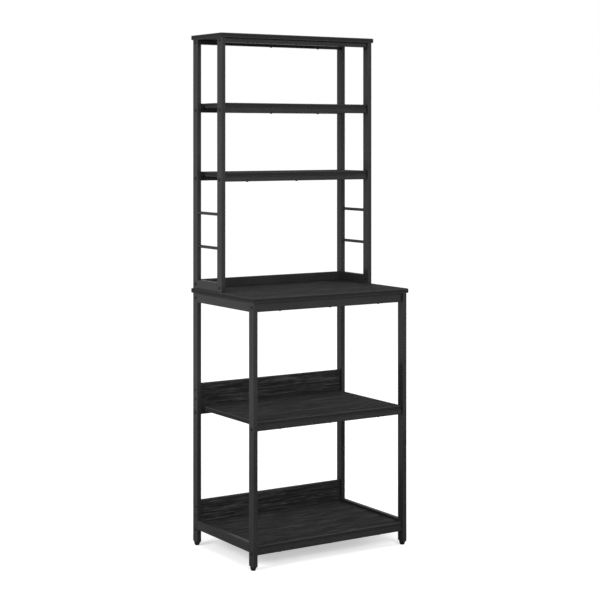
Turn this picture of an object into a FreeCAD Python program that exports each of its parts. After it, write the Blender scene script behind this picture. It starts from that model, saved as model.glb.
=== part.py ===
"""Tall kitchen rack: a base frame with a worktop, a bottom and a middle shelf, and a shallower
hutch at the back of the worktop with two shelves and a top board.

The frames are rectangular steel tube. Each side of the base and of the hutch is two posts with
side rails welded between them. Cross rails run from side to side and are held by bolts through
the posts, and the boards lie on the cross rails, screwed from below.

Millimetres. The origin is on the floor under the middle of the worktop. X is the width, Y the
depth with the front at -Y, Z is up.
"""
import FreeCAD, Part
import os

Vector = FreeCAD.Vector

# Overall size of the worktop and of the hutch
unit_width = 600.0
unit_depth = 400.0
hutch_depth = 200.0
board_overhang = 5.0

# Heights of the boards' upper faces: the lowest above the floor, each other above the one below it
bottom_shelf_height = 76.0
middle_shelf_pitch = 386.0
worktop_pitch = 386.0
lower_hutch_pitch = 386.0
upper_hutch_pitch = 225.0
top_board_pitch = 225.0

# Steel tube: posts and deep rails are flat 15 x 30, shelf rails are 15 square
tube_thin = 15.0
tube_wide = 30.0
tube_wall = 1.2
tube_corner = 1.8

# Threaded blocks in the ends of the cross rails
insert_length = 12.0
insert_play = 0.1

# Boards, their play between the posts, and the two low panels behind the base's shelves
board_thick = 15.0
board_play = 0.5
board_arris = 3.0
panel_height = 72.0
panel_thick = 15.0

# Notches in the ends of the shelf boards, just in front of the rear posts
notch_depth = 14.0
notch_length = 24.0

# The bottom side rails stand above the bottom shelf, as a lip
side_rail_lip = 8.0

# Round rods between the hutch posts, two on each side
rod_diameter = 10.0
lower_rod_height = 140.5
rod_pitch = 110.0

# Bolts through the posts; where no rail is behind a post, the bolt's end just shows
bolt_diameter = 6.0
bolt_play = 0.25
bolt_reach = 8.0
bolt_end_show = 1.0
bolt_head_diameter = 11.0
bolt_head_top_diameter = 7.0
bolt_head_height = 2.8
thread_play = 0.1

# Screws up through the rails into the boards, and through the rear posts into the panels
screw_diameter = 4.0
screw_play = 0.25
screw_grip = 10.0
screw_pitch = 190.0
screw_head_diameter = 8.0
screw_head_height = 2.0
panel_screw_grip = 25.0
panel_screw_edge = 21.0

# Bars that locate the hutch posts on the base
spigot_play = 0.3
spigot_rise = 35.0
spigot_drop = 40.0

# Levelling feet: a tapered pad on a threaded stud, which turns in a nut in the end of each base post
foot_height = 12.0
foot_diameter = 20.0
foot_base_diameter = 14.4
foot_rim = 3.5
foot_gap = 0.3
foot_travel = 10.0
stud_diameter = 6.0
stud_seat = 7.0
stud_play = 0.2
plug_flange = 1.2
plug_rise = 18.0
plug_play = 0.15
nut_across = 10.0
nut_thick = 5.0
nut_play = 0.1

# How far every cutting tool runs past the face that it cuts
overrun = 2.0

# Heights worked out from the sizes above
middle_shelf_height = bottom_shelf_height + middle_shelf_pitch
worktop_height = middle_shelf_height + worktop_pitch
lower_hutch_height = worktop_height + lower_hutch_pitch
upper_hutch_height = lower_hutch_height + upper_hutch_pitch
unit_height = upper_hutch_height + top_board_pitch
base_top = worktop_height - board_thick
hutch_top = unit_height - board_thick
rim_top = worktop_height + tube_wide
rim_middle = worktop_height + tube_wide / 2
flange_bottom = foot_height + foot_gap
post_bottom = flange_bottom + plug_flange
plug_top = post_bottom + plug_rise

# Places worked out from the sizes above: the frame's outer faces lie inside the boards' edges
frame_side = unit_width / 2 - board_overhang
frame_back = unit_depth / 2 - board_overhang
frame_front = -frame_back
hutch_front = unit_depth / 2 - hutch_depth + board_overhang
inner_side = frame_side - tube_thin
post_middle_x = frame_side - tube_thin / 2
rear_line = frame_back - tube_wide / 2
base_front_line = frame_front + tube_wide / 2
hutch_front_line = hutch_front + tube_wide / 2

SIDES = {"left": -1, "right": 1}
AXES = {"x": Vector(1, 0, 0), "y": Vector(0, 1, 0), "z": Vector(0, 0, 1)}

# Cross rails of each frame: the height of the rail's top and how deep the rail is
BASE_RAILS = {
    "bottom_shelf_rail": (bottom_shelf_height - board_thick, tube_thin),
    "middle_shelf_rail": (middle_shelf_height - board_thick, tube_thin),
    "worktop_rail": (base_top, tube_wide),
}
HUTCH_RAILS = {
    "lower_hutch_rail": (lower_hutch_height - board_thick, tube_thin),
    "upper_hutch_rail": (upper_hutch_height - board_thick, tube_thin),
    "top_rail": (hutch_top, tube_thin),
}


def block(low, high):
    """Box between two opposite corners."""
    size = high - low
    return Part.makeBox(size.x, size.y, size.z, low)


def span(side, near, far):
    """The two X values of a side's range in rising order; near and far are distances from the middle."""
    return sorted((side * near, side * far))


def rod_between(start, end, diameter):
    """Round bar from one point to another."""
    run = end - start
    return Part.makeCylinder(diameter / 2, run.Length, start, run)


def edges_along(box, axis):
    """The four edges of a box that run along the named axis."""
    found = []
    for edge in box.Edges:
        run = edge.Vertexes[-1].Point - edge.Vertexes[0].Point
        if abs(run.dot(AXES[axis])) > run.Length / 2:
            found.append(edge)
    return found


def rounded_bar(low, high, axis, corner):
    """Box whose four edges along the named axis are rounded."""
    bar = block(low, high)
    return bar.makeFillet(corner, edges_along(bar, axis))


def tube(low, high, axis):
    """Rectangular tube along the named axis, open at both ends, with rounded corners."""
    walls = Vector(tube_wall, tube_wall, tube_wall)
    inset = walls - AXES[axis] * (tube_wall + overrun)
    bore = rounded_bar(low + inset, high - inset, axis, tube_corner - tube_wall)
    return rounded_bar(low, high, axis, tube_corner).cut(bore)


def side_hole(side, middle_y, middle_z, depth, diameter):
    """Cutter for a hole along X that starts outside one side of the frame and runs inwards."""
    start = Vector(side * (frame_side + overrun), middle_y, middle_z)
    end = Vector(side * (frame_side - depth), middle_y, middle_z)
    return rod_between(start, end, diameter)


def bolt_heights(rails):
    """Heights of the bolts that hold the given rails: the middle of each rail."""
    return [top - deep / 2 for top, deep in rails.values()]


def panel_screw_heights():
    """Heights of the screws in each rear base post, two for each low panel."""
    heights = []
    for shelf in (bottom_shelf_height, middle_shelf_height):
        heights.append(shelf + panel_screw_edge)
        heights.append(shelf + panel_height - panel_screw_edge)
    return heights


def post(side, middle_y, bottom, top, bolts, screws):
    """Upright tube with a hole through both broad walls at each bolt and screw height."""
    near, far = span(side, inner_side, frame_side)
    low = Vector(near, middle_y - tube_wide / 2, bottom)
    high = Vector(far, middle_y + tube_wide / 2, top)
    depth = tube_thin + overrun
    holes = [side_hole(side, middle_y, z, depth, bolt_diameter + 2 * bolt_play) for z in bolts]
    holes += [side_hole(side, middle_y, z, depth, screw_diameter + 2 * screw_play) for z in screws]
    return tube(low, high, "z").cut(holes)


def side_rail(side, front, back, bottom):
    """Rail on edge between the front and the rear post of one side."""
    near, far = span(side, inner_side, frame_side)
    return tube(Vector(near, front, bottom), Vector(far, back, bottom + tube_wide), "y")


def side_rod(side, height):
    """Round rod between the front and the rear hutch post of one side."""
    start = Vector(side * post_middle_x, hutch_front + tube_wide, height)
    end = Vector(side * post_middle_x, frame_back - tube_wide, height)
    return rod_between(start, end, rod_diameter)


def screw_places():
    """Places along X of the screws that hold a board to a rail."""
    return [-screw_pitch, 0, screw_pitch]


def cross_rail(line, top, deep):
    """Rail from side to side along a line of post middles."""
    low = Vector(-inner_side, line - tube_thin / 2, top - deep)
    high = Vector(inner_side, line + tube_thin / 2, top)
    return tube(low, high, "x")


def screwed_rail(line, top, deep):
    """Cross rail with holes for the screws that hold the board above it."""
    cutters = []
    for x in screw_places():
        start = Vector(x, line, top - deep - overrun)
        end = Vector(x, line, top + overrun)
        cutters.append(rod_between(start, end, screw_diameter + 2 * screw_play))
    return cross_rail(line, top, deep).cut(cutters)


def rail_inserts(line, top, deep):
    """Threaded blocks in the two ends of a cross rail."""
    inserts = []
    half_y = tube_thin / 2 - tube_wall - insert_play
    half_z = deep / 2 - tube_wall - insert_play
    middle = top - deep / 2
    for side in SIDES.values():
        near, far = span(side, inner_side - insert_length, inner_side)
        low = Vector(near, line - half_y, middle - half_z)
        high = Vector(far, line + half_y, middle + half_z)
        depth = tube_thin + insert_length + overrun
        thread = side_hole(side, line, middle, depth, bolt_diameter + 2 * thread_play)
        inserts.append(rounded_bar(low, high, "x", tube_corner - tube_wall).cut(thread))
    return inserts


def eased_board(low, high):
    """Board with all its edges rounded."""
    board = block(low, high)
    return board.makeFillet(board_arris, board.Edges)


def screw_pilots(front_line, bottom):
    """Cutters for the screw holes in a board's underside, above its front and rear rails."""
    pilots = []
    for line in (front_line, rear_line):
        for x in screw_places():
            start = Vector(x, line, bottom - overrun)
            end = Vector(x, line, bottom + screw_grip)
            pilots.append(rod_between(start, end, screw_diameter + 2 * thread_play))
    return pilots


def shelf_board(front_line, top):
    """Board between the posts, flush with the rails' faces, with a notch in each end."""
    half = inner_side - board_play
    front, back = front_line - tube_thin / 2, rear_line + tube_thin / 2
    bottom = top - board_thick
    cutters = screw_pilots(front_line, bottom)
    notch_back = frame_back - tube_wide
    for side in SIDES.values():
        near, far = span(side, inner_side - notch_depth, inner_side + overrun)
        low = Vector(near, notch_back - notch_length, bottom - overrun)
        cutters.append(block(low, Vector(far, notch_back, top + overrun)))
    return eased_board(Vector(-half, front, bottom), Vector(half, back, top)).cut(cutters)


def full_board(front, top, front_line, slots):
    """Board that overhangs its frame all round, with the given slots cut through it."""
    bottom = top - board_thick
    low = Vector(-unit_width / 2, front, bottom)
    high = Vector(unit_width / 2, unit_depth / 2, top)
    return eased_board(low, high).cut(screw_pilots(front_line, bottom) + slots)


def low_panel(shelf):
    """Upright board on the back of a shelf, between the rear posts, with screw holes in its ends."""
    half = inner_side - board_play
    low = Vector(-half, rear_line - panel_thick / 2, shelf)
    high = Vector(half, rear_line + panel_thick / 2, shelf + panel_height)
    depth = tube_thin + panel_screw_grip
    cutters = []
    for side in SIDES.values():
        for z in (shelf + panel_screw_edge, shelf + panel_height - panel_screw_edge):
            cutters.append(side_hole(side, rear_line, z, depth, screw_diameter + 2 * thread_play))
    return eased_board(low, high).cut(cutters)


def spigot_block(side, middle_y, bottom, top, play):
    """Upright bar with the section of a post's bore, less the given play."""
    half_x = tube_thin / 2 - tube_wall - play
    half_y = tube_wide / 2 - tube_wall - play
    low = Vector(side * post_middle_x - half_x, middle_y - half_y, bottom)
    high = Vector(side * post_middle_x + half_x, middle_y + half_y, top)
    return rounded_bar(low, high, "z", tube_corner - tube_wall)


def spigots():
    """Bars through the worktop: the front pair stands on side rails, the rear pair goes into posts."""
    bars = []
    top = worktop_height + spigot_rise
    hole = bolt_diameter + 2 * bolt_play
    depth = tube_thin + overrun
    for side in SIDES.values():
        front = spigot_block(side, hutch_front_line, base_top, top, spigot_play)
        rear = spigot_block(side, rear_line, base_top - spigot_drop, top, spigot_play)
        bars.append(front.cut(side_hole(side, hutch_front_line, rim_middle, depth, hole)))
        rear_heights = (rim_middle, base_top - tube_wide / 2)
        bars.append(rear.cut([side_hole(side, rear_line, z, depth, hole) for z in rear_heights]))
    return bars


def spigot_slots():
    """Cutters for the four slots in the worktop."""
    slots = []
    for side in SIDES.values():
        for line in (hutch_front_line, rear_line):
            slots.append(spigot_block(side, line, base_top - overrun, worktop_height + overrun, 0))
    return slots


def bolt(side, line, height, reach):
    """Bolt with a low tapered head on a post's outer face and its end past the inner face."""
    seat = Vector(side * frame_side, line, height)
    tip = Vector(side * (inner_side - reach), line, height)
    crown = Vector(side, 0, 0)
    head_base, head_top = bolt_head_diameter / 2, bolt_head_top_diameter / 2
    head = Part.makeCone(head_base, head_top, bolt_head_height, seat, crown)
    return head.fuse(rod_between(seat, tip, bolt_diameter)).removeSplitter()


def frame_bolts(front_line, rails):
    """Bolts at the ends of all the given rails."""
    bolts = []
    for side in SIDES.values():
        for line in (front_line, rear_line):
            bolts += [bolt(side, line, height, bolt_reach) for height in bolt_heights(rails)]
    return bolts


def rim_bolts():
    """Bolts that hold the hutch posts to their spigots; the rear pair also holds the rim rail."""
    bolts = []
    for side in SIDES.values():
        bolts.append(bolt(side, hutch_front_line, rim_middle, bolt_end_show))
        bolts.append(bolt(side, rear_line, rim_middle, bolt_reach))
    return bolts


def screw(seat, direction, length):
    """Screw whose flat round head lies behind the seat and whose shank runs ahead of it."""
    shank = rod_between(seat, seat + direction * length, screw_diameter)
    head = Part.makeCylinder(screw_head_diameter / 2, screw_head_height, seat, direction * -1)
    return head.fuse(shank).removeSplitter()


def board_screws(front_line, rails):
    """Screws up through all the given rails into their boards."""
    screws = []
    for top, deep in rails.values():
        for line in (front_line, rear_line):
            for x in screw_places():
                seat = Vector(x, line, top - deep)
                screws.append(screw(seat, AXES["z"], deep + screw_grip))
    return screws


def panel_screws():
    """Screws through the rear posts into the ends of the low panels."""
    screws = []
    for side in SIDES.values():
        for height in panel_screw_heights():
            seat = Vector(side * frame_side, rear_line, height)
            screws.append(screw(seat, Vector(-side, 0, 0), tube_thin + panel_screw_grip))
    return screws


def moved(shape, side, line):
    """Copy of a shape made about the Z axis, moved under the middle of a base post."""
    copy = shape.copy()
    copy.translate(Vector(side * post_middle_x, line, 0))
    return copy


def at_each_foot(shape):
    """Copies of a shape under all four base posts."""
    return [moved(shape, side, line) for side in SIDES.values() for line in (base_front_line, rear_line)]


def foot_pad():
    """Round pad about the Z axis that narrows towards the floor, with a blind hole for its stud."""
    rim, base = foot_diameter / 2, foot_base_diameter / 2
    outline = [
        Vector(0, 0, 0),
        Vector(base, 0, 0),
        Vector(rim, 0, foot_height - foot_rim),
        Vector(rim, 0, foot_height),
        Vector(0, 0, foot_height),
        Vector(0, 0, 0),
    ]
    pad = Part.Face(Part.makePolygon(outline)).revolve(Vector(0, 0, 0), AXES["z"], 360)
    hole_start = Vector(0, 0, foot_height - stud_seat)
    hole_end = Vector(0, 0, foot_height + overrun)
    return pad.cut(rod_between(hole_start, hole_end, stud_diameter + 2 * thread_play))


def foot_stud():
    """Threaded stud about the Z axis, long enough to stay in its nut when the foot is right down."""
    start = Vector(0, 0, foot_height - stud_seat)
    return rod_between(start, Vector(0, 0, plug_top + foot_travel), stud_diameter)


def hexagon(across, bottom, top):
    """Six-sided bar about the Z axis, with flat sides towards X."""
    corners = [Vector(0, across / 3 ** 0.5, bottom)]
    turn = FreeCAD.Rotation(AXES["z"], 60)
    for _ in range(6):
        corners.append(turn.multVec(corners[-1]))
    return Part.Face(Part.makePolygon(corners)).extrude(Vector(0, 0, top - bottom))


def foot_plug():
    """Plug in a post's lower end: a flange under the tube, a bore for the stud, a pocket for the nut."""
    half_x = tube_thin / 2 - tube_wall - plug_play
    half_y = tube_wide / 2 - tube_wall - plug_play
    low, high = Vector(-half_x, -half_y, flange_bottom), Vector(half_x, half_y, plug_top)
    body = rounded_bar(low, high, "z", tube_corner - tube_wall)
    low = Vector(-tube_thin / 2, -tube_wide / 2, flange_bottom)
    high = Vector(tube_thin / 2, tube_wide / 2, post_bottom)
    flange = rounded_bar(low, high, "z", tube_corner)
    bore_start = Vector(0, 0, flange_bottom - overrun)
    bore = rod_between(bore_start, Vector(0, 0, plug_top + overrun), stud_diameter + 2 * stud_play)
    pocket = hexagon(nut_across + 2 * nut_play, plug_top - nut_thick, plug_top + overrun)
    return body.fuse(flange).removeSplitter().cut([bore, pocket])


def foot_nut():
    """Hexagon nut in a plug's pocket."""
    bore_start = Vector(0, 0, plug_top - nut_thick - overrun)
    bore_end = Vector(0, 0, plug_top + overrun)
    bore = rod_between(bore_start, bore_end, stud_diameter + 2 * thread_play)
    return hexagon(nut_across, plug_top - nut_thick, plug_top).cut(bore)


def base_frame():
    """Posts and side rails of the base."""
    parts = {}
    bolts, screws = bolt_heights(BASE_RAILS), panel_screw_heights()
    front, back = frame_front + tube_wide, frame_back - tube_wide
    lip_bottom = bottom_shelf_height + side_rail_lip - tube_wide
    for name, side in SIDES.items():
        parts["base_post_front_" + name] = post(side, base_front_line, post_bottom, base_top, bolts, [])
        parts["base_post_rear_" + name] = post(side, rear_line, post_bottom, base_top, bolts, screws)
        parts["worktop_side_rail_" + name] = side_rail(side, front, back, base_top - tube_wide)
        parts["bottom_side_rail_" + name] = side_rail(side, front, back, lip_bottom)
    return parts


def hutch_frame():
    """Posts, rim rails and rods of the hutch."""
    parts = {"rim_rail_rear": cross_rail(rear_line, rim_top, tube_wide)}
    bolts = [rim_middle] + bolt_heights(HUTCH_RAILS)
    front, back = hutch_front + tube_wide, frame_back - tube_wide
    for name, side in SIDES.items():
        for end, line in (("front", hutch_front_line), ("rear", rear_line)):
            upright = post(side, line, worktop_height, hutch_top, bolts, [])
            parts["hutch_post_" + end + "_" + name] = upright
        parts["rim_rail_" + name] = side_rail(side, front, back, worktop_height)
        parts["lower_rod_" + name] = side_rod(side, worktop_height + lower_rod_height)
        parts["upper_rod_" + name] = side_rod(side, worktop_height + lower_rod_height + rod_pitch)
    return parts


def cross_rails():
    """Cross rails under the boards, each frame's front and rear one for each board."""
    parts = {}
    for rails, front_line in ((BASE_RAILS, base_front_line), (HUTCH_RAILS, hutch_front_line)):
        for name, (top, deep) in rails.items():
            parts[name + "_front"] = screwed_rail(front_line, top, deep)
            parts[name + "_rear"] = screwed_rail(rear_line, top, deep)
    return parts


def inserts():
    """Threaded blocks of the cross rails, one group for each frame."""
    groups = {"base_rail_inserts": [], "hutch_rail_inserts": rail_inserts(rear_line, rim_top, tube_wide)}
    for line in (base_front_line, rear_line):
        for top, deep in BASE_RAILS.values():
            groups["base_rail_inserts"] += rail_inserts(line, top, deep)
    for line in (hutch_front_line, rear_line):
        for top, deep in HUTCH_RAILS.values():
            groups["hutch_rail_inserts"] += rail_inserts(line, top, deep)
    return {name: Part.makeCompound(group) for name, group in groups.items()}


def boards():
    """The six boards and the two low panels."""
    top_front = unit_depth / 2 - hutch_depth
    return {
        "bottom_shelf_board": shelf_board(base_front_line, bottom_shelf_height),
        "middle_shelf_board": shelf_board(base_front_line, middle_shelf_height),
        "worktop_board": full_board(-unit_depth / 2, worktop_height, base_front_line, spigot_slots()),
        "lower_hutch_board": shelf_board(hutch_front_line, lower_hutch_height),
        "upper_hutch_board": shelf_board(hutch_front_line, upper_hutch_height),
        "top_board": full_board(top_front, unit_height, hutch_front_line, []),
        "bottom_panel": low_panel(bottom_shelf_height),
        "middle_panel": low_panel(middle_shelf_height),
    }


def fasteners():
    """Bolts, screws and spigots, each kind and frame as one group of separate solids."""
    groups = {
        "base_bolts": frame_bolts(base_front_line, BASE_RAILS),
        "hutch_bolts": frame_bolts(hutch_front_line, HUTCH_RAILS) + rim_bolts(),
        "base_board_screws": board_screws(base_front_line, BASE_RAILS),
        "hutch_board_screws": board_screws(hutch_front_line, HUTCH_RAILS),
        "panel_screws": panel_screws(),
        "hutch_spigots": spigots(),
    }
    return {name: Part.makeCompound(group) for name, group in groups.items()}


def feet():
    """Levelling feet, and the plugs and nuts that they screw into."""
    parts = {
        "foot_plugs": Part.makeCompound(at_each_foot(foot_plug())),
        "foot_nuts": Part.makeCompound(at_each_foot(foot_nut())),
    }
    pad, stud = foot_pad(), foot_stud()
    for name, side in SIDES.items():
        for end, line in (("front", base_front_line), ("rear", rear_line)):
            parts["foot_pad_" + end + "_" + name] = moved(pad, side, line)
            parts["foot_stud_" + end + "_" + name] = moved(stud, side, line)
    return parts


def main():
    """Builds every piece and writes one file for each node."""
    os.makedirs("parts", exist_ok=True)
    for group in (base_frame, hutch_frame, cross_rails, inserts, boards, fasteners, feet):
        for name, shape in group().items():
            if not shape.isValid():
                raise ValueError(name + " is not a valid shape")
            shape.exportStep("parts/" + name + ".step")
            print(name, len(shape.Solids), "solids", round(shape.Volume), "mm3")


main()
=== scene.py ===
"""Looks of the tall kitchen rack: its finishes, welds, bolts, screws and feet, and the studio."""
import logging
import math
from collections.abc import Iterable
from dataclasses import dataclass
from enum import Enum

import bmesh
import bpy
from mathutils import Matrix, Vector


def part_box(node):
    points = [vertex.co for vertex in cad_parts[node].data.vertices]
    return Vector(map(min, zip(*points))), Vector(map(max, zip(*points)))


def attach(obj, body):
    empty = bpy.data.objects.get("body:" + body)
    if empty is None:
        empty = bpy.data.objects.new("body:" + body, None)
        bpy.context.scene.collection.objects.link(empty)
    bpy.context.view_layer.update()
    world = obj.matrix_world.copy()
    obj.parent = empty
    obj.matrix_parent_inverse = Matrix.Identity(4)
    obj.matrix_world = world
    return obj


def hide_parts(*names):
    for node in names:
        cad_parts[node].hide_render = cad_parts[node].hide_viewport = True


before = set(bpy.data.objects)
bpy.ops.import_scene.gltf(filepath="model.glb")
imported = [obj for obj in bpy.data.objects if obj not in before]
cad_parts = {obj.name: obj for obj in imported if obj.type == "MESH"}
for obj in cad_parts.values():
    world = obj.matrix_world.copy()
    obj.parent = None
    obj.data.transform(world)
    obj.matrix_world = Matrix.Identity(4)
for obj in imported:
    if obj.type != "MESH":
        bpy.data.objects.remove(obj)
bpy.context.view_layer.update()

LOG = logging.getLogger("rack")
MM = 0.001
WHITE = (1.0, 1.0, 1.0, 1.0)

# Numbers of the colour sockets on a Mix node
MIX_FIRST, MIX_SECOND, MIX_RESULT = 6, 7, 2

# Width of a cross recess at its waist and what its arms add to that, as shares of its radius
CROSS_WAIST, CROSS_ARM = 0.34, 0.66

# Digits to which two angles about an axis have to agree to be the same
ANGLE_DIGITS = 3

Tree = bpy.types.NodeTree
Socket = bpy.types.NodeSocket
Mesh = bmesh.types.BMesh


class Slot(Enum):
    """Material slots of the record."""

    STEEL = "frame_steel"
    FIXING = "fixing_black"
    PLAIN_STEEL = "plain_steel"
    FOOT = "foot_plastic"


class Lay(Enum):
    """How a board lies: the axis that its broad faces look along."""

    FLAT = "Z"
    UPRIGHT = "Y"


class Outline(Enum):
    """Outline of a turned piece at one height."""

    ROUND = "round"
    HEXAGON = "hexagon"
    CROSS = "cross"


class Side(Enum):
    """Side of the rack, as the sign of its X."""

    LEFT = -1
    RIGHT = 1


def linear(code: str) -> tuple[float, float, float, float]:
    """Turns an sRGB colour to linear.

    Args:
        code: The colour as six hex digits.

    Returns:
        Linear red, green and blue, and an alpha of one.
    """
    shares = [int(code[i:i + 2], 16) / 255 for i in (0, 2, 4)]
    red, green, blue = (share / 12.92 if share <= 0.04045 else ((share + 0.055) / 1.055) ** 2.4
                        for share in shares)
    return red, green, blue, 1.0


def per_metre(size: float) -> float:
    """Texture scale whose pattern repeats about once in size millimetres."""
    return 1 / (size * MM)


def add(tree: Tree, kind: str, inputs: dict | None = None,
        stops: Iterable[tuple[float, str]] = (), **settings: object) -> bpy.types.Node:
    """Adds a node with its settings and links.

    Args:
        tree: The tree that gets the node.
        kind: The node's type, without its ShaderNode prefix.
        inputs: By an input's name or number, the socket that feeds it or its value.
        stops: Places and colours of a colour ramp, in rising order.
        settings: The node's own settings.

    Returns:
        The new node.
    """
    node = tree.nodes.new("ShaderNode" + kind)
    for name, value in settings.items():
        setattr(node, name, value)
    for name, value in (inputs or {}).items():
        if isinstance(value, Socket):
            tree.links.new(value, node.inputs[name])
        else:
            node.inputs[name].default_value = value
    for number, (place, code) in enumerate(stops):
        elements = node.color_ramp.elements
        element = elements[number] if number < len(elements) else elements.new(place)
        element.position = place
        element.color = linear(code)
    return node


@dataclass(frozen=True)
class Finish:
    """What every finish has: a name and a surface built from nodes.

    In the finishes, sizes of patterns and heights of relief are millimetres, and a roughness of two
    values is that at the low and at the high end of the pattern.
    """

    name: str

    def build(self) -> bpy.types.Material:
        """Makes the material.

        Returns:
            The new material.
        """
        material = bpy.data.materials.new(self.name)
        material.use_nodes = True
        tree = material.node_tree
        tree.nodes.clear()
        add(tree, "OutputMaterial", {"Surface": self.surface(tree)})
        return material

    def surface(self, tree: Tree) -> Socket:
        """Adds the nodes of the surface and returns its shader."""
        raise NotImplementedError

    def mottle(self, tree: Tree, size: float, detail: float = 3.0) -> Socket:
        """Adds even noise on the piece's own coordinates.

        Args:
            tree: The tree that gets it.
            size: Size of its patches in millimetres.
            detail: How many finer layers it has.

        Returns:
            The noise value.
        """
        place = add(tree, "TexCoord").outputs["Object"]
        noise = add(tree, "TexNoise", {"Vector": place, "Scale": per_metre(size), "Detail": detail})
        return noise.outputs["Fac"]


@dataclass(frozen=True)
class PowderCoat(Finish):
    """Matt black polyester powder coat on steel tube, sprayed and baked."""

    # The powder melts into a fine pebbled skin, so its highlights are broad and a little broken up.
    # The pebbles of a real coat are about 0.3 mm. They are drawn three times as coarse, to show
    name: str = "powder_coat_black"
    colour: str = "222222"
    thick: str = "272727"
    tint_range: tuple[float, float] = (0.35, 0.7)
    roughness: tuple[float, float] = (0.46, 0.54)
    ior: float = 1.5
    gloss: float = 0.11
    skin: float = 0.22
    skin_roughness: float = 0.1
    patch: float = 70.0
    pebble: float = 0.9
    pebble_detail: float = 2.0
    relief: float = 0.08
    relief_share: float = 0.25

    def surface(self, tree: Tree) -> Socket:
        """Adds the coat: faint patches of tint and gloss, and pebbles.

        Args:
            tree: The tree that gets it.

        Returns:
            The shader.
        """
        patches = self.mottle(tree, self.patch)
        pebbles = self.mottle(tree, self.pebble, self.pebble_detail)
        tint = add(tree, "ValToRGB", {0: patches}, zip(self.tint_range, (self.colour, self.thick)))
        rough = add(tree, "MapRange", {
            "Value": patches, "To Min": self.roughness[0], "To Max": self.roughness[1],
        })
        bump = add(tree, "Bump", {
            "Height": pebbles, "Strength": self.relief_share, "Distance": self.relief * MM,
        })
        return add(tree, "BsdfPrincipled", {
            "Base Color": tint.outputs["Color"], "Roughness": rough.outputs["Result"],
            "Normal": bump.outputs["Normal"], "IOR": self.ior, "Specular IOR Level": self.gloss,
            "Coat Weight": self.skin, "Coat Roughness": self.skin_roughness,
        }).outputs["BSDF"]


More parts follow.
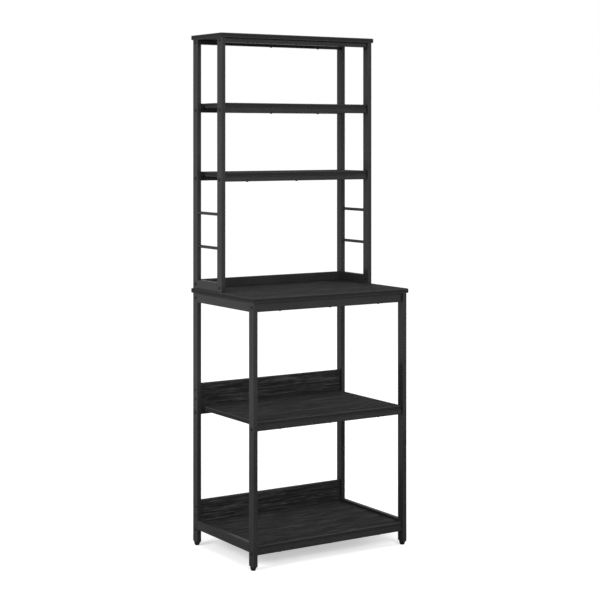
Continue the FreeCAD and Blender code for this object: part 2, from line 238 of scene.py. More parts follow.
@dataclass(frozen=True)
class GrainLaminate(Finish):
    """Black ash melamine laminate on chipboard, pressed with a fine open grain."""

    # The print has long arched rings with streaks between them, the press leaves short pores along
    # the grain, and the edges carry a plain smoother band whose rounded corners get a painted
    # highlight, a pale line.
    # Real streaks are about 0.7 mm wide and real pores 0.3 mm. They are drawn four and six times as
    # coarse, to show
    name: str = "laminate_black_ash"
    lay: Lay = Lay.FLAT
    dark: str = "1a1a1a"
    middle: str = "282828"
    light: str = "434343"
    tint_range: tuple[float, float, float] = (0.48, 0.6, 0.74)
    band: str = "212121"
    # Painted highlight: the pale colour of the edges' rounded corners
    corner: str = "373737"
    # Roughness of the print, and the shades at which it starts and stops to change
    roughness: tuple[float, float] = (0.86, 0.74)
    roughness_range: tuple[float, float] = (0.45, 0.75)
    band_roughness: float = 0.62
    ior: float = 1.5
    gloss: float = 0.08
    # Rings: their width, that as a share of their length, how many and how thin they are
    arch: float = 42.0
    arch_share: float = 0.045
    arch_count: float = 15.0
    crispness: float = 5.0
    # Streaks and pores: their width, and that as a share of their length
    streak: float = 2.8
    run_share: float = 0.03
    pore: float = 1.8
    pore_run_share: float = 0.06
    wander: float = 0.3
    detail: float = 2.0
    raggedness: float = 0.55
    # What the rings, the streaks and the pores add to the print's shade
    ring_weight: float = 0.16
    streak_weight: float = 0.68
    pore_weight: float = 0.42
    relief: float = 0.15
    relief_share: float = 0.35
    # Smallest part of the normal across the board on its broad faces, and on the edges' corners,
    # which get the painted highlight
    broad_face: float = 0.97
    highlight_least: float = 0.2

    def grain(self, tree: Tree, size: float, share: float, wander: float) -> Socket:
        """Adds noise drawn out along the grain, which runs along X.

        Args:
            tree: The tree that gets it.
            size: Width of its streaks in millimetres.
            share: Their width as a share of their length.
            wander: How much they wander.

        Returns:
            The noise value.
        """
        place = add(tree, "TexCoord").outputs["Object"]
        drawn = add(tree, "Mapping", {"Vector": place, "Scale": (share, 1.0, 1.0)})
        return add(tree, "TexNoise", {
            "Vector": drawn.outputs["Vector"], "Scale": per_metre(size), "Detail": self.detail,
            "Roughness": self.raggedness, "Distortion": wander,
        }).outputs["Fac"]

    def rings(self, tree: Tree) -> Socket:
        """Adds the arched rings: thin height lines of very long, slow waves.

        Args:
            tree: The tree that gets them.

        Returns:
            The value, which is one on the rings and falls off beside them.
        """
        waves = self.grain(tree, self.arch, self.arch_share, self.wander)
        lines = add(tree, "Math", {0: waves, 1: self.arch_count}, operation="MULTIPLY").outputs[0]
        crests = add(tree, "Math", {0: lines, 1: 1.0}, operation="PINGPONG").outputs[0]
        return add(tree, "Math", {0: crests, 1: self.crispness}, operation="POWER").outputs[0]

    def shade(self, tree: Tree, pores: Socket) -> Socket:
        """Adds up the rings, the streaks and the pores.

        Args:
            tree: The tree that gets the sum.
            pores: The value of the pores.

        Returns:
            The shade of the print.
        """
        streaks = self.grain(tree, self.streak, self.run_share, self.wander)
        figure = add(tree, "Math", {0: self.rings(tree), 1: self.ring_weight},
                     operation="MULTIPLY").outputs[0]
        ground = add(tree, "Math", {0: streaks, 1: self.streak_weight, 2: figure},
                     operation="MULTIPLY_ADD").outputs[0]
        return add(tree, "Math", {0: pores, 1: self.pore_weight, 2: ground},
                   operation="MULTIPLY_ADD").outputs[0]

    def turned(self, tree: Tree, least: float) -> Socket:
        """Adds a value that is one where the surface turns enough toward the board's broad side.

        Args:
            tree: The tree that gets it.
            least: Smallest part of the normal across the board that counts.

        Returns:
            The value, one or zero.
        """
        normal = add(tree, "NewGeometry").outputs["True Normal"]
        part = add(tree, "SeparateXYZ", {"Vector": normal}).outputs[self.lay.value]
        size = add(tree, "Math", {0: part}, operation="ABSOLUTE").outputs[0]
        return add(tree, "Math", {0: size, 1: least}, operation="GREATER_THAN").outputs[0]

    def surface(self, tree: Tree) -> Socket:
        """Adds the print, the pores, the edge band and the painted highlight on its corners.

        Args:
            tree: The tree that gets them.

        Returns:
            The shader.
        """
        pores = self.grain(tree, self.pore, self.pore_run_share, 0.0)
        shade = self.shade(tree, pores)
        tint = add(tree, "ValToRGB", {0: shade},
                   zip(self.tint_range, (self.dark, self.middle, self.light)))
        face, corner = self.turned(tree, self.broad_face), self.turned(tree, self.highlight_least)
        # The edges' rounded corners get a painted highlight, a paler colour than the band
        edge = add(tree, "Mix", {
            0: corner, MIX_FIRST: linear(self.band), MIX_SECOND: linear(self.corner),
        }, data_type="RGBA")
        colour = add(tree, "Mix", {
            0: face, MIX_FIRST: edge.outputs[MIX_RESULT], MIX_SECOND: tint.outputs["Color"],
        }, data_type="RGBA")
        grain_rough = add(tree, "MapRange", {
            "Value": shade,
            "From Min": self.roughness_range[0], "From Max": self.roughness_range[1],
            "To Min": self.roughness[0], "To Max": self.roughness[1],
        })
        rough = add(tree, "MapRange", {
            "Value": face, "To Min": self.band_roughness, "To Max": grain_rough.outputs["Result"],
        })
        depth = add(tree, "Math", {0: pores, 1: face}, operation="MULTIPLY").outputs[0]
        bump = add(tree, "Bump", {
            "Height": depth, "Strength": self.relief_share, "Distance": self.relief * MM,
        })
        return add(tree, "BsdfPrincipled", {
            "Base Color": colour.outputs[MIX_RESULT], "Roughness": rough.outputs["Result"],
            "Normal": bump.outputs["Normal"], "IOR": self.ior, "Specular IOR Level": self.gloss,
        }).outputs["BSDF"]


@dataclass(frozen=True)
class BlackOxide(Finish):
    """Black-oxide machine steel of bolts and screws, oiled."""

    # The oxide is thin and deep black with oil on it, so the heads are darker and glossier than the
    # coat. It is a coating, so it isn't metallic
    name: str = "fastener_black_oxide"
    colour: str = "0c0c0c"
    rubbed: str = "181818"
    tint_range: tuple[float, float] = (0.45, 0.75)
    roughness: tuple[float, float] = (0.16, 0.36)
    ior: float = 1.5
    gloss: float = 0.3
    scuff: float = 2.5
    scuff_detail: float = 4.0

    def surface(self, tree: Tree) -> Socket:
        """Adds the coating with small scuffs from the driver.

        Args:
            tree: The tree that gets it.

        Returns:
            The shader.
        """
        scuffs = self.mottle(tree, self.scuff, self.scuff_detail)
        tint = add(tree, "ValToRGB", {0: scuffs}, zip(self.tint_range, (self.colour, self.rubbed)))
        rough = add(tree, "MapRange", {
            "Value": scuffs, "To Min": self.roughness[0], "To Max": self.roughness[1],
        })
        return add(tree, "BsdfPrincipled", {
            "Base Color": tint.outputs["Color"], "Roughness": rough.outputs["Result"],
            "IOR": self.ior, "Specular IOR Level": self.gloss,
        }).outputs["BSDF"]


@dataclass(frozen=True)
class ZincPlate(Finish):
    """Bright zinc plate on studs, nuts and the hidden steel blocks."""

    # Plated in a bath, so it is silvery all over with a faint mottle
    name: str = "zinc_plate"
    dull: str = "94979a"
    colour: str = "b9bbbd"
    tint_range: tuple[float, float] = (0.3, 0.7)
    roughness: tuple[float, float] = (0.44, 0.26)
    spangle: float = 3.0

    def surface(self, tree: Tree) -> Socket:
        """Adds the plate.

        Args:
            tree: The tree that gets it.

        Returns:
            The shader.
        """
        spangles = self.mottle(tree, self.spangle)
        tint = add(tree, "ValToRGB", {0: spangles}, zip(self.tint_range, (self.dull, self.colour)))
        rough = add(tree, "MapRange", {
            "Value": spangles, "To Min": self.roughness[0], "To Max": self.roughness[1],
        })
        return add(tree, "BsdfPrincipled", {
            "Base Color": tint.outputs["Color"], "Roughness": rough.outputs["Result"],
            "Metallic": 1.0,
        }).outputs["BSDF"]


@dataclass(frozen=True)
class MouldedNylon(Finish):
    """Black injection-moulded nylon of the feet and plugs."""

    # The mould is spark-eroded, which leaves the nylon matt with a fine grain. That of a real
    # moulding is about 0.1 mm. It is drawn seven times as coarse, to show
    name: str = "nylon_black"
    colour: str = "0f0f0f"
    rubbed: str = "1a1a1a"
    tint_range: tuple[float, float] = (0.4, 0.75)
    roughness: float = 0.5
    ior: float = 1.53
    gloss: float = 0.35
    texture: float = 0.7
    texture_detail: float = 2.0
    relief: float = 0.04
    relief_share: float = 0.3

    def surface(self, tree: Tree) -> Socket:
        """Adds the nylon.

        Args:
            tree: The tree that gets it.

        Returns:
            The shader.
        """
        texture = self.mottle(tree, self.texture, self.texture_detail)
        tint = add(tree, "ValToRGB", {0: texture}, zip(self.tint_range, (self.colour, self.rubbed)))
        bump = add(tree, "Bump", {
            "Height": texture, "Strength": self.relief_share, "Distance": self.relief * MM,
        })
        return add(tree, "BsdfPrincipled", {
            "Base Color": tint.outputs["Color"], "Normal": bump.outputs["Normal"],
            "Roughness": self.roughness, "IOR": self.ior, "Specular IOR Level": self.gloss,
        }).outputs["BSDF"]


@dataclass(frozen=True)
class BlackFlag:
    """Black cloth on a stand at the right of the studio, which only reflections show."""

    # Where it starts and is full, as parts of a direction to the right
    edge: tuple[float, float] = (0.6, 0.8)
    left_over: float = 0.2

    def share(self, tree: Tree, way: Socket) -> Socket:
        """Adds the share of light that it leaves.

        Args:
            tree: The tree that gets it.
            way: A direction, or a place far from the rack.

        Returns:
            The share.
        """
        straight = add(tree, "VectorMath", {0: way}, operation="NORMALIZE").outputs[0]
        right = add(tree, "SeparateXYZ", {"Vector": straight}).outputs["X"]
        return add(tree, "MapRange", {
            "Value": right, "From Min": self.edge[0], "From Max": self.edge[1],
            "To Min": 1.0, "To Max": self.left_over,
        }).outputs["Result"]


@dataclass(frozen=True)
class StudioPaper(Finish):
    """Pale matt studio paper of the floor."""

    # Matt and even. A glow that only the camera and rays through glass see makes it white, and
    # leaves the rack's soft shadow on it. Reflections show it dim in front of the rack.
    # Radii and depths are metres from the middle of the rack
    name: str = "studio_paper"
    colour: str = "e6e6e6"
    near_glow: float = 0.5
    far_glow: float = 0.72
    glow_radii: tuple[float, float] = (1.4, 4.0)
    front_mirror: float = 0.04
    rear_mirror: float = 0.62
    mirror_depths: tuple[float, float] = (-1.5, 1.5)
    mirror_radii: tuple[float, float] = (2.35, 2.75)

    def glow(self, tree: Tree, away: Socket, path: bpy.types.NodeOutputs) -> Socket:
        """Adds the light that makes the paper white.

        Args:
            tree: The tree that gets it.
            away: Distance from the middle of the rack.
            path: Outputs of the light path.

        Returns:
            Its shader.
        """
        level = add(tree, "MapRange", {
            "Value": away, "From Min": self.glow_radii[0], "From Max": self.glow_radii[1],
            "To Min": self.near_glow, "To Max": self.far_glow,
        }).outputs["Result"]
        seen = add(tree, "Math", {0: path["Is Camera Ray"], 1: path["Is Transmission Ray"]},
                   operation="MAXIMUM").outputs[0]
        power = add(tree, "Math", {0: seen, 1: level}, operation="MULTIPLY").outputs[0]
        return add(tree, "Emission", {"Color": WHITE, "Strength": power}).outputs[0]

    def mirrored(self, tree: Tree, place: Socket, away: Socket) -> Socket:
        """Adds what reflections show of the paper.

        Args:
            tree: The tree that gets it.
            place: Place on the floor.
            away: Distance from the middle of the rack.

        Returns:
            Its shader.
        """
        depth = add(tree, "SeparateXYZ", {"Vector": place}).outputs["Y"]
        near = add(tree, "MapRange", {
            "Value": depth, "From Min": self.mirror_depths[0], "From Max": self.mirror_depths[1],
            "To Min": self.front_mirror, "To Max": self.rear_mirror,
        }).outputs["Result"]
        level = add(tree, "MapRange", {
            "Value": away, "From Min": self.mirror_radii[0], "From Max": self.mirror_radii[1],
            "To Min": near,
        }).outputs["Result"]
        flagged = add(tree, "Math", {0: level, 1: BlackFlag().share(tree, place)},
                      operation="MULTIPLY").outputs[0]
        return add(tree, "Emission", {"Color": WHITE, "Strength": flagged}).outputs[0]

    def surface(self, tree: Tree) -> Socket:
        """Adds the paper, its glow and what reflections show instead.

        Args:
            tree: The tree that gets them.

        Returns:
            The shader.
        """
        place = add(tree, "TexCoord").outputs["Object"]
        away = add(tree, "VectorMath", {0: place}, operation="LENGTH").outputs["Value"]
        path = add(tree, "LightPath").outputs
        paper = add(tree, "BsdfDiffuse", {"Color": linear(self.colour)}).outputs[0]
        lit = add(tree, "AddShader", {0: paper, 1: self.glow(tree, away, path)}).outputs[0]
        return add(tree, "MixShader", {
            0: path["Is Glossy Ray"], 1: lit, 2: self.mirrored(tree, place, away),
        }).outputs[0]


@dataclass(frozen=True)
class Ring:
    """One ring of a turned piece: its radius and height in millimetres, and its outline."""

    radius: float
    height: float
    outline: Outline = Outline.ROUND

    def reach(self, angle: float) -> float:
        """Works out how far the ring is from the axis.

        Args:
            angle: Angle about the axis in radians.

        Returns:
            The distance in metres.
        """
        if self.outline is Outline.HEXAGON:
            sixth = math.radians(60)
            return self.radius * MM * math.cos(sixth / 2) / math.cos(angle % sixth - sixth / 2)
        if self.outline is Outline.CROSS:
            return self.radius * MM * (CROSS_WAIST + CROSS_ARM * math.cos(2 * angle) ** 2)
        return self.radius * MM


def angle_of(vert: bmesh.types.BMVert) -> float:
    """Angle of a vertex about the Z axis in radians."""
    return math.atan2(vert.co.y, vert.co.x)


def turn_solid(bm: Mesh, rings: list[Ring], segments: int, place: Matrix) -> None:
    """Adds a closed turned solid to a bmesh.

    Args:
        bm: The mesh that gets it.
        rings: Its rings from one end to the other.
        segments: Number of sides.
        place: Where its axis, which runs along Z, goes.
    """
    loop = bmesh.ops.create_circle(bm, cap_ends=False, segments=segments, radius=1.0)["verts"]
    angles = [angle_of(vert) for vert in loop]
    edges = list(dict.fromkeys(edge for vert in loop for edge in vert.link_edges))
    solid = []
    for ring in rings:
        if solid:
            grown = bmesh.ops.extrude_edge_only(bm, edges=edges)["geom"]
            fresh = [item for item in grown if isinstance(item, bmesh.types.BMVert)]
            by_angle = {round(angle_of(vert), ANGLE_DIGITS): vert for vert in fresh}
            loop = [by_angle[round(angle, ANGLE_DIGITS)] for angle in angles]
            edges = [item for item in grown if isinstance(item, bmesh.types.BMEdge)]
        for vert, angle in zip(loop, angles):
            reach = ring.reach(angle)
            vert.co = Vector((math.cos(angle) * reach, math.sin(angle) * reach, ring.height * MM))
        if ring is rings[0] or ring is rings[-1]:
            bmesh.ops.contextual_create(bm, geom=edges)
        solid += loop
    bmesh.ops.transform(bm, matrix=place, verts=solid)


def facing(direction: Vector, seat: Vector) -> Matrix:
    """Matrix that turns the Z axis to a direction and moves the origin to a seat."""
    return Matrix.Translation(seat) @ direction.to_track_quat("Z", "Y").to_matrix().to_4x4()


@dataclass
class SubAssembly:
    """What every sub-assembly does: dress CAD nodes, and finish and place new pieces.

    In the sub-assemblies, sizes are millimetres and creases are degrees.
    """

    def dress(self, nodes: Iterable[str], material: bpy.types.Material) -> None:
        """Gives CAD nodes a finish.

        Args:
            nodes: Names of the nodes.
            material: The finish.
        """
        for name in nodes:
            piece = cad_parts[name]
            if not piece.material_slots:
                piece.data.materials.append(material)
            for slot in piece.material_slots:
                slot.material = material
            LOG.info("%s: %s", name, material.name)

    def place(self, bm: Mesh, name: str, material: bpy.types.Material, slot: Slot,
              body: str = "rack", crease: float = 35.0) -> bpy.types.Object:
        """Turns a bmesh into a finished piece that rides on a body.

        Args:
            bm: The mesh, in metres and in the rack's own frame. It is freed.
            name: The piece's name.
            material: Its finish.
            slot: The record's slot of that finish. Not used.
            body: The body that it rides on.
            crease: Edges that fold by fewer degrees are shaded smooth.

        Returns:
            The new piece.
        """
        bmesh.ops.recalc_face_normals(bm, faces=bm.faces)
        for face in bm.faces:
            face.smooth = True
        for edge in bm.edges:
            edge.smooth = edge.calc_face_angle(0.0) < math.radians(crease)
        mesh = bpy.data.meshes.new(name)
        bm.to_mesh(mesh)
        bm.free()
        mesh.materials.append(material)
        piece = bpy.data.objects.new(name, mesh)
        bpy.context.scene.collection.objects.link(piece)
        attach(piece, body)
        LOG.info("%s: %d faces", name, len(mesh.polygons))
        return piece


@dataclass
class SteelFrame(SubAssembly):
    """Tube frames of the base and the hutch: their coat, and the weld beads of the side frames."""

    coat: bpy.types.Material
    # Straight beads: radius, how deep they sit, their ripples, and where a tube's corner ends them
    bead: float = 1.3
    bead_sides: int = 8
    bead_end_share: float = 0.45
    bead_sink: float = 0.5
    ripple: float = 1.4
    ripple_share: float = 0.14
    least_ripples: int = 3
    corner: float = 2.2
    # Beads round the rods: the root, as a share of the rod's radius and a height, and then how far
    # each ring stands out from the rod, and its height
    rod_bead_sides: int = 28
    rod_bead_root: tuple[float, float] = (0.6, -0.2)
    rod_bead: tuple[tuple[float, float], ...] = ((1.4, 0.0), (1.1, 0.7), (0.35, 1.5), (-0.4, 1.9))
    bead_crease: float = 60.0
    side_rails: tuple[str, ...] = ("worktop_side_rail", "bottom_side_rail", "rim_rail")
    rods: tuple[str, ...] = ("lower_rod", "upper_rod")
    cross_rails: tuple[str, ...] = ("bottom_shelf_rail", "middle_shelf_rail", "worktop_rail",
                                    "lower_hutch_rail", "upper_hutch_rail", "top_rail")

    def nodes(self) -> list[str]:
        """Lists the coated tubes and rods.

        Returns:
            The names of their nodes.
        """
        sides = [f"{rail}_{side}" for rail in self.side_rails + self.rods
                 for side in ("left", "right")]
        cross = [f"{rail}_{end}" for rail in self.cross_rails for end in ("front", "rear")]
        posts = [f"{part}_post_{end}_{side}" for part in ("base", "hutch")
                 for end in ("front", "rear") for side in ("left", "right")]
        return sides + cross + posts + ["rim_rail_rear"]

    def bead_run(self, bm: Mesh, start: Vector, end: Vector) -> None:
        """Adds one straight weld bead with the ripples that the torch leaves.

        Args:
            bm: The mesh that gets it.
            start: First point of the joint.
            end: Last point of the joint.
        """
        run = end - start
        length = run.length / MM
        count = 2 * max(self.least_ripples, round(length / self.ripple))
        rings = [Ring(self.bead * self.bead_end_share, 0.0)]
        for number in range(1, count):
            swell = 1 + self.ripple_share * (-1) ** number
            rings.append(Ring(self.bead * swell, length * number / count))
        rings.append(Ring(self.bead * self.bead_end_share, length))
        turn_solid(bm, rings, self.bead_sides, facing(run.normalized(), start))

    def rail_beads(self, bm: Mesh, node: str, side: Side) -> None:
        """Adds the beads at both ends of a side rail: over it, under it and on its inner face.

        Args:
            bm: The mesh that gets them.
            node: The rail.
            side: The side of the rack that it is on.
        """
        low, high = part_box(node)
        sink, edge = self.bead_sink * MM, self.corner * MM
        inner = (low.x if side is Side.RIGHT else high.x) + sink * side.value
        for y in (low.y + sink / 2, high.y - sink / 2):
            for z in (high.z - sink, low.z + sink):
                self.bead_run(bm, Vector((low.x + edge, y, z)), Vector((high.x - edge, y, z)))
            self.bead_run(bm, Vector((inner, y, low.z + edge)), Vector((inner, y, high.z - edge)))

    def rod_beads(self, bm: Mesh, node: str) -> None:
        """Adds the ring of weld at both ends of a round rod.

        Args:
            bm: The mesh that gets them.
            node: The rod.
        """
        low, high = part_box(node)
        middle = (low + high) / 2
        radius = (high.x - low.x) / 2 / MM
        share, start = self.rod_bead_root
        rings = [Ring(radius * share, start)]
        rings += [Ring(radius + out, height) for out, height in self.rod_bead]
        for y, direction in ((low.y, Vector((0, 1, 0))), (high.y, Vector((0, -1, 0)))):
            place = facing(direction, Vector((middle.x, y, middle.z)))
            turn_solid(bm, rings, self.rod_bead_sides, place)

    def build(self) -> None:
        """Coats the tubes and adds the welds of each side."""
        self.dress(self.nodes(), self.coat)
        for side in Side:
            name = side.name.lower()
            bm = bmesh.new()
            for rail in self.side_rails:
                self.rail_beads(bm, f"{rail}_{name}", side)
            for rod in self.rods:
                self.rod_beads(bm, f"{rod}_{name}")
            self.place(bm, f"weld_beads_{name}", self.coat, Slot.STEEL, crease=self.bead_crease)


@dataclass
class Boards(SubAssembly):
    """Laminated boards: four shelves, the worktop, the top board and the two low panels."""

    flat_finish: bpy.types.Material
    upright_finish: bpy.types.Material
    flat: tuple[str, ...] = ("bottom_shelf_board", "middle_shelf_board", "worktop_board",
                             "lower_hutch_board", "upper_hutch_board", "top_board")
    upright: tuple[str, ...] = ("bottom_panel", "middle_panel")

    def build(self) -> None:
        """Gives every board its laminate."""
        self.dress(self.flat, self.flat_finish)
        self.dress(self.upright, self.upright_finish)


@dataclass(frozen=True)
class FastenerKind:
    """One kind of bolt or screw, in millimetres and shares of its head's radius."""

    head_height: float
    shank_share: float
    recess: Outline
    recess_share: float
    # Shares of the head's height
    recess_depth_share: float = 0.62
    skirt_share: float = 0.12
    # Shares of the shank's radius
    tip_share: float = 0.4
    tip_length_share: float = 0.6
    # Shares of the head's radius at its seat, and of the recess's at its brim and floor
    seat_share: float = 0.97
    brim_share: float = 1.15
    floor_share: float = 0.9
    dome_steps: int = 6

    def rings(self, radius: float, length: float) -> list[Ring]:
        """Lists the rings of a fastener from its tip to the floor of its recess.

        Args:
            radius: Head radius.
            length: Length under the head.

        Returns:
            The rings, with the head's seat at height zero.
        """
        shank, socket = radius * self.shank_share, radius * self.recess_share
        tall = self.head_height
        rings = [Ring(shank * self.tip_share, -length),
                 Ring(shank, -length + shank * self.tip_length_share), Ring(shank, 0.0),
                 Ring(radius * self.seat_share, 0.0), Ring(radius, tall * self.skirt_share)]
        brim, dome = socket * self.brim_share, 1 - self.skirt_share
        for step in range(1, self.dome_steps + 1):
            angle = math.radians(90) * step / self.dome_steps
            rings.append(Ring(brim + (radius - brim) * math.cos(angle),
                              tall * (self.skirt_share + dome * math.sin(angle))))
        rings.append(Ring(socket, tall, self.recess))
        rings.append(Ring(socket * self.floor_share, tall * (1 - self.recess_depth_share),
                          self.recess))
        return rings


@dataclass
class Fasteners(SubAssembly):
    """Bolts and screws, each at the place and of the size of its CAD solid."""

    black: bpy.types.Material
    segments: int = 24
    # Corners of the CAD mesh that are nearer than this are one
    merge: float = 0.001
    # Bolts have shanks of 6 mm under heads of 11 mm, and screws have 4 mm under 8 mm
    bolt: FastenerKind = FastenerKind(2.8, 6 / 11, Outline.HEXAGON, 0.42)
    screw: FastenerKind = FastenerKind(2.0, 0.5, Outline.CROSS, 0.5)
    bolts: tuple[str, ...] = ("base_bolts", "hutch_bolts")
    screws: tuple[str, ...] = ("base_board_screws", "hutch_board_screws", "panel_screws")

    def solid_boxes(self, node: str) -> list[tuple[Vector, Vector]]:
        """Finds the box of each separate solid in a CAD node.

        Args:
            node: The node's name.

        Returns:
            Lowest and highest corner of each solid.
        """
        bm = bmesh.new()
        bm.from_mesh(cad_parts[node].data)
        bmesh.ops.remove_doubles(bm, verts=bm.verts, dist=self.merge * MM)
        boxes, seen = [], set()
        for start in bm.verts:
            if start in seen:
                continue
            seen.add(start)
            queue, solid = [start], []
            while queue:
                vert = queue.pop()
                solid.append(vert.co.copy())
                linked = {edge.other_vert(vert) for edge in vert.link_edges} - seen
                seen |= linked
                queue += linked
            boxes.append(tuple(Vector(pick(corner[axis] for corner in solid) for axis in range(3))
                               for pick in (min, max)))
        bm.free()
        return boxes

    def group(self, node: str, kind: FastenerKind) -> None:
        """Builds all the fasteners of one CAD node.

        Args:
            node: The CAD node.
            kind: The kind of fastener that it holds.
        """
        bm = bmesh.new()
        for low, high in self.solid_boxes(node):
            size, seat = high - low, (low + high) / 2
            # Bolts and the panels' screws point inwards along X, and the other screws point up
            axis = 0 if size.x > size.z else 2
            outward = Vector((math.copysign(1, seat.x), 0, 0)) if axis == 0 else Vector((0, 0, -1))
            crown = high[axis] if outward[axis] > 0 else low[axis]
            seat[axis] = crown - outward[axis] * kind.head_height * MM
            rings = kind.rings(size.y / 2 / MM, size[axis] / MM - kind.head_height)
            turn_solid(bm, rings, self.segments, facing(outward, seat))
        piece = self.place(bm, node + "_detailed", self.black, Slot.FIXING)
        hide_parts(node)

    def build(self) -> None:
        """Builds every group."""
        for node in self.bolts:
            self.group(node, self.bolt)
        for node in self.screws:
            self.group(node, self.screw)


@dataclass
class LevellingFeet(SubAssembly):
    """Levelling feet: moulded pads on threaded studs, with the plugs and nuts that carry them."""

    nylon: bpy.types.Material
    zinc: bpy.types.Material
    # Pads: radius of the sole and height of the rim as shares of the pad's
    sole_share: float = 0.72
    rim_share: float = 0.29
    # Rings of a pad: what they add to a radius, and to a height. Those of the sole count from the
    # sole's radius and the floor, those of the rim from the rim's radius and its lower edge, those
    # of the shoulder from the rim's radius and the top, and those of the seat from 0 and the top
    sole_rings: tuple[tuple[float, float], ...] = ((-3.0, 0.9), (-1.6, 0.0), (-0.8, 0.0),
                                                   (-0.24, 0.25), (0.1, 0.9))
    rim_rings: tuple[tuple[float, float], ...] = ((-0.15, -0.3), (0.0, 0.0), (0.0, 1.1),
                                                  (-0.35, 1.3), (-0.35, 1.6), (0.0, 1.8))
    shoulder_rings: tuple[tuple[float, float], ...] = ((0.0, -0.8), (-0.24, -0.24), (-0.8, 0.0))
    seat_rings: tuple[tuple[float, float], ...] = ((4.6, 0.0), (4.2, -0.5), (3.2, -0.5))
    pad_sides: int = 48
    pad_crease: float = 40.0
    # Studs: their chamfer and thread. Its section is given as shares of the core and of the pitch
    stud_sides: int = 24
    stud_crease: float = 30.0
    chamfer: float = 0.4
    pitch: float = 1.0
    thread_depth: float = 0.55
    thread_root_share: float = 0.97
    thread_half_share: float = 0.46
    thread_crest_share: float = 0.12
    thread_steps: int = 16

    def pad(self, node: str, body: str) -> None:
        """Builds one pad with eased corners and a fine moulded groove.

        Args:
            node: The CAD pad.
            body: The body that it rides on.
        """
        low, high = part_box(node)
        middle = (low + high) / 2
        rim, tall = (high.x - low.x) / 2 / MM, (high.z - low.z) / MM
        parts = ((rim * self.sole_share, 0.0, self.sole_rings),
                 (rim, tall * (1 - self.rim_share), self.rim_rings),
                 (rim, tall, self.shoulder_rings),
                 (0.0, tall, self.seat_rings))
        rings = [Ring(radius + out, base + rise)
                 for radius, base, part in parts for out, rise in part]
        bm = bmesh.new()
        turn_solid(bm, rings, self.pad_sides, Matrix.Translation((middle.x, middle.y, low.z)))
        piece = self.place(bm, node + "_moulded", self.nylon, Slot.FOOT, body, self.pad_crease)
        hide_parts(node)

    def stud(self, node: str, body: str) -> None:
        """Builds one stud: a core with a helical thread ridge.

        Args:
            node: The CAD stud.
            body: The body that it rides on.
        """
        low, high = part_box(node)
        middle = (low + high) / 2
        radius, length = (high.x - low.x) / 2 / MM, (high.z - low.z) / MM
        core = radius - self.thread_depth
        end = core - self.chamfer
        rings = [Ring(end, 0.0), Ring(core, self.chamfer), Ring(core, length - self.chamfer),
                 Ring(end, length)]
        bm = bmesh.new()
        turn_solid(bm, rings, self.stud_sides, Matrix.Translation((middle.x, middle.y, low.z)))
        half, root = self.pitch * self.thread_half_share, core * self.thread_root_share
        crest = half * self.thread_crest_share
        section = [(root, -half), (radius, -crest), (radius, crest), (root, half)]
        # The thread starts a pitch above the lower end, and ends about a pitch below the upper one
        start = low.z + self.pitch * MM
        verts = [bm.verts.new((middle.x + reach * MM, middle.y, start + rise * MM))
                 for reach, rise in section]
        face = bm.faces.new(verts)
        turns = int(length / self.pitch - 2)
        bmesh.ops.spin(bm, geom=verts + list(face.edges) + [face], cent=(middle.x, middle.y, 0),
                       axis=(0, 0, 1), dvec=(0, 0, self.pitch * MM / self.thread_steps),
                       angle=math.radians(360) * turns, steps=self.thread_steps * turns)
        piece = self.place(bm, node + "_threaded", self.zinc, Slot.PLAIN_STEEL, body,
                           self.stud_crease)
        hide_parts(node)

    def build(self) -> None:
        """Builds the four feet and dresses what they screw into, and the other hidden steel."""
        for end in ("front", "rear"):
            for side in ("left", "right"):
                body = f"foot_{end}_{side}"
                self.pad(f"foot_pad_{end}_{side}", body)
                self.stud(f"foot_stud_{end}_{side}", body)
        self.dress(["foot_plugs"], self.nylon)
        hidden = ["foot_nuts", "hutch_spigots", "base_rail_inserts", "hutch_rail_inserts"]
        self.dress(hidden, self.zinc)


@dataclass(frozen=True)
class Lamp:
    """Soft round lamp: its place and diameter in metres, and its power in watts."""

    name: str
    place: tuple[float, float, float]
    size: float
    power: float

    def build(self, target: Vector) -> None:
        """Adds the lamp.

        Args:
            target: The point that it looks at.
        """
        data = bpy.data.lights.new(self.name, "AREA")
        data.shape = "DISK"
        data.size = self.size
        data.energy = self.power
        lamp = bpy.data.objects.new(self.name, data)
        lamp.location = self.place
        lamp.rotation_euler = (target - Vector(self.place)).to_track_quat("-Z", "Y").to_euler()
        bpy.context.scene.collection.objects.link(lamp)


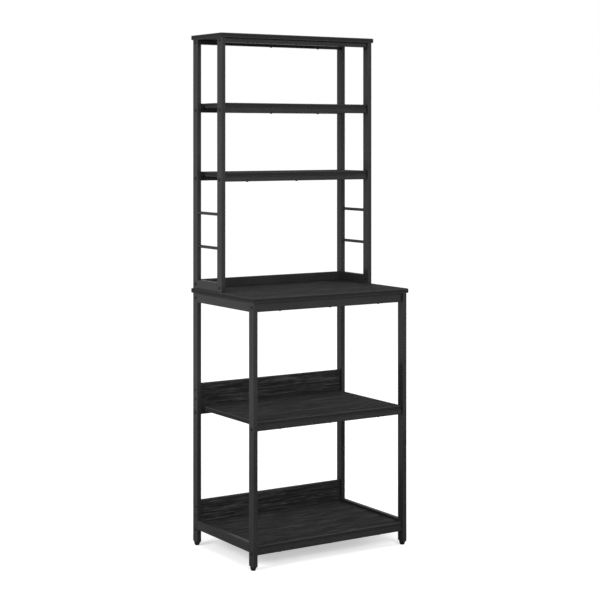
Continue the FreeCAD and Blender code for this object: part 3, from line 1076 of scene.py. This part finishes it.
@dataclass
class Studio:
    """Floor, world, lamps and the camera of the photograph.

    Places and lengths are metres, the camera's sensor is millimetres and its turn is degrees.
    """

    floor_size: float = 240.0
    camera_place: tuple[float, float, float] = (-2.777, -4.319, 1.350)
    camera_turn: float = -32.75
    sensor: float = 36.0
    sight: float = 500.0
    focal_pixels: float = 1551.7
    frame_pixels: float = 600.0
    horizon_pixel: float = 136.5
    # Levels of the world: its light, and what reflections show of it above the paper's edge
    fill: float = 0.4
    upper_mirror: float = 0.66
    # Where the paper ends behind, as the upward part of a direction
    paper_edge: tuple[float, float] = (0.01, 0.08)
    target: tuple[float, float, float] = (0.0, 0.0, 0.9)
    lamps: tuple[Lamp, ...] = (
        Lamp("left", (-4.05, -0.4, 2.8), 2.2, 130.0),
        Lamp("front", (-0.3, -4.07, 2.7), 2.2, 120.0),
        Lamp("right", (3.9, -0.3, 1.9), 2.2, 42.0),
    )

    def camera(self) -> None:
        """Adds the camera, level and with the photograph's shifted frame."""
        data = bpy.data.cameras.new("camera")
        data.sensor_width = self.sensor
        data.lens = self.focal_pixels / self.frame_pixels * data.sensor_width
        data.shift_y = (self.horizon_pixel - self.frame_pixels / 2) / self.frame_pixels
        data.clip_end = self.sight
        camera = bpy.data.objects.new("camera", data)
        camera.location = self.camera_place
        camera.rotation_euler = (math.radians(90), 0.0, math.radians(self.camera_turn))
        bpy.context.scene.collection.objects.link(camera)
        bpy.context.scene.camera = camera

    def floor(self) -> None:
        """Adds the floor."""
        bm = bmesh.new()
        bmesh.ops.create_grid(bm, x_segments=2, y_segments=2, size=self.floor_size / 2)
        mesh = bpy.data.meshes.new("studio_floor")
        bm.to_mesh(mesh)
        bm.free()
        mesh.materials.append(StudioPaper().build())
        floor = bpy.data.objects.new("studio_floor", mesh)
        bpy.context.scene.collection.objects.link(floor)

    def world(self) -> None:
        """Sets a world that is seen as white and lights at the level of the fill."""
        world = bpy.data.worlds.new("studio")
        world.use_nodes = True
        tree = world.node_tree
        tree.nodes.clear()
        path = add(tree, "LightPath").outputs
        way = add(tree, "TexCoord").outputs["Generated"]
        rise = add(tree, "SeparateXYZ", {"Vector": way}).outputs["Z"]
        mirror = add(tree, "MapRange", {
            "Value": rise, "From Min": self.paper_edge[0], "From Max": self.paper_edge[1],
            "To Min": 1.0, "To Max": self.upper_mirror,
        }).outputs["Result"]
        flagged = add(tree, "Math", {0: mirror, 1: BlackFlag().share(tree, way)},
                      operation="MULTIPLY").outputs[0]
        level = add(tree, "MapRange", {
            "Value": path["Is Glossy Ray"], "To Min": self.fill, "To Max": flagged,
        }).outputs["Result"]
        seen = add(tree, "Math", {0: path["Is Camera Ray"], 1: path["Is Transmission Ray"]},
                   operation="MAXIMUM").outputs[0]
        power = add(tree, "MapRange", {"Value": seen, "To Min": level, "To Max": 1.0})
        sky = add(tree, "Background", {"Color": WHITE, "Strength": power.outputs["Result"]})
        add(tree, "OutputWorld", {"Surface": sky.outputs["Background"]})
        bpy.context.scene.world = world

    def build(self) -> None:
        """Builds the studio."""
        self.camera()
        self.floor()
        self.world()
        for lamp in self.lamps:
            lamp.build(Vector(self.target))
        bpy.context.scene.view_settings.view_transform = "Standard"
        LOG.info("studio: %d lamps", len(self.lamps))


def main() -> None:
    """Builds the studio and dresses the rack."""
    logging.basicConfig(level=logging.INFO, format="%(message)s")
    Studio().build()
    SteelFrame(PowderCoat().build()).build()
    upright = GrainLaminate("laminate_black_ash_upright", Lay.UPRIGHT)
    Boards(GrainLaminate().build(), upright.build()).build()
    Fasteners(BlackOxide().build()).build()
    LevellingFeet(MouldedNylon().build(), ZincPlate().build()).build()


if __name__ == "__main__":
    main()
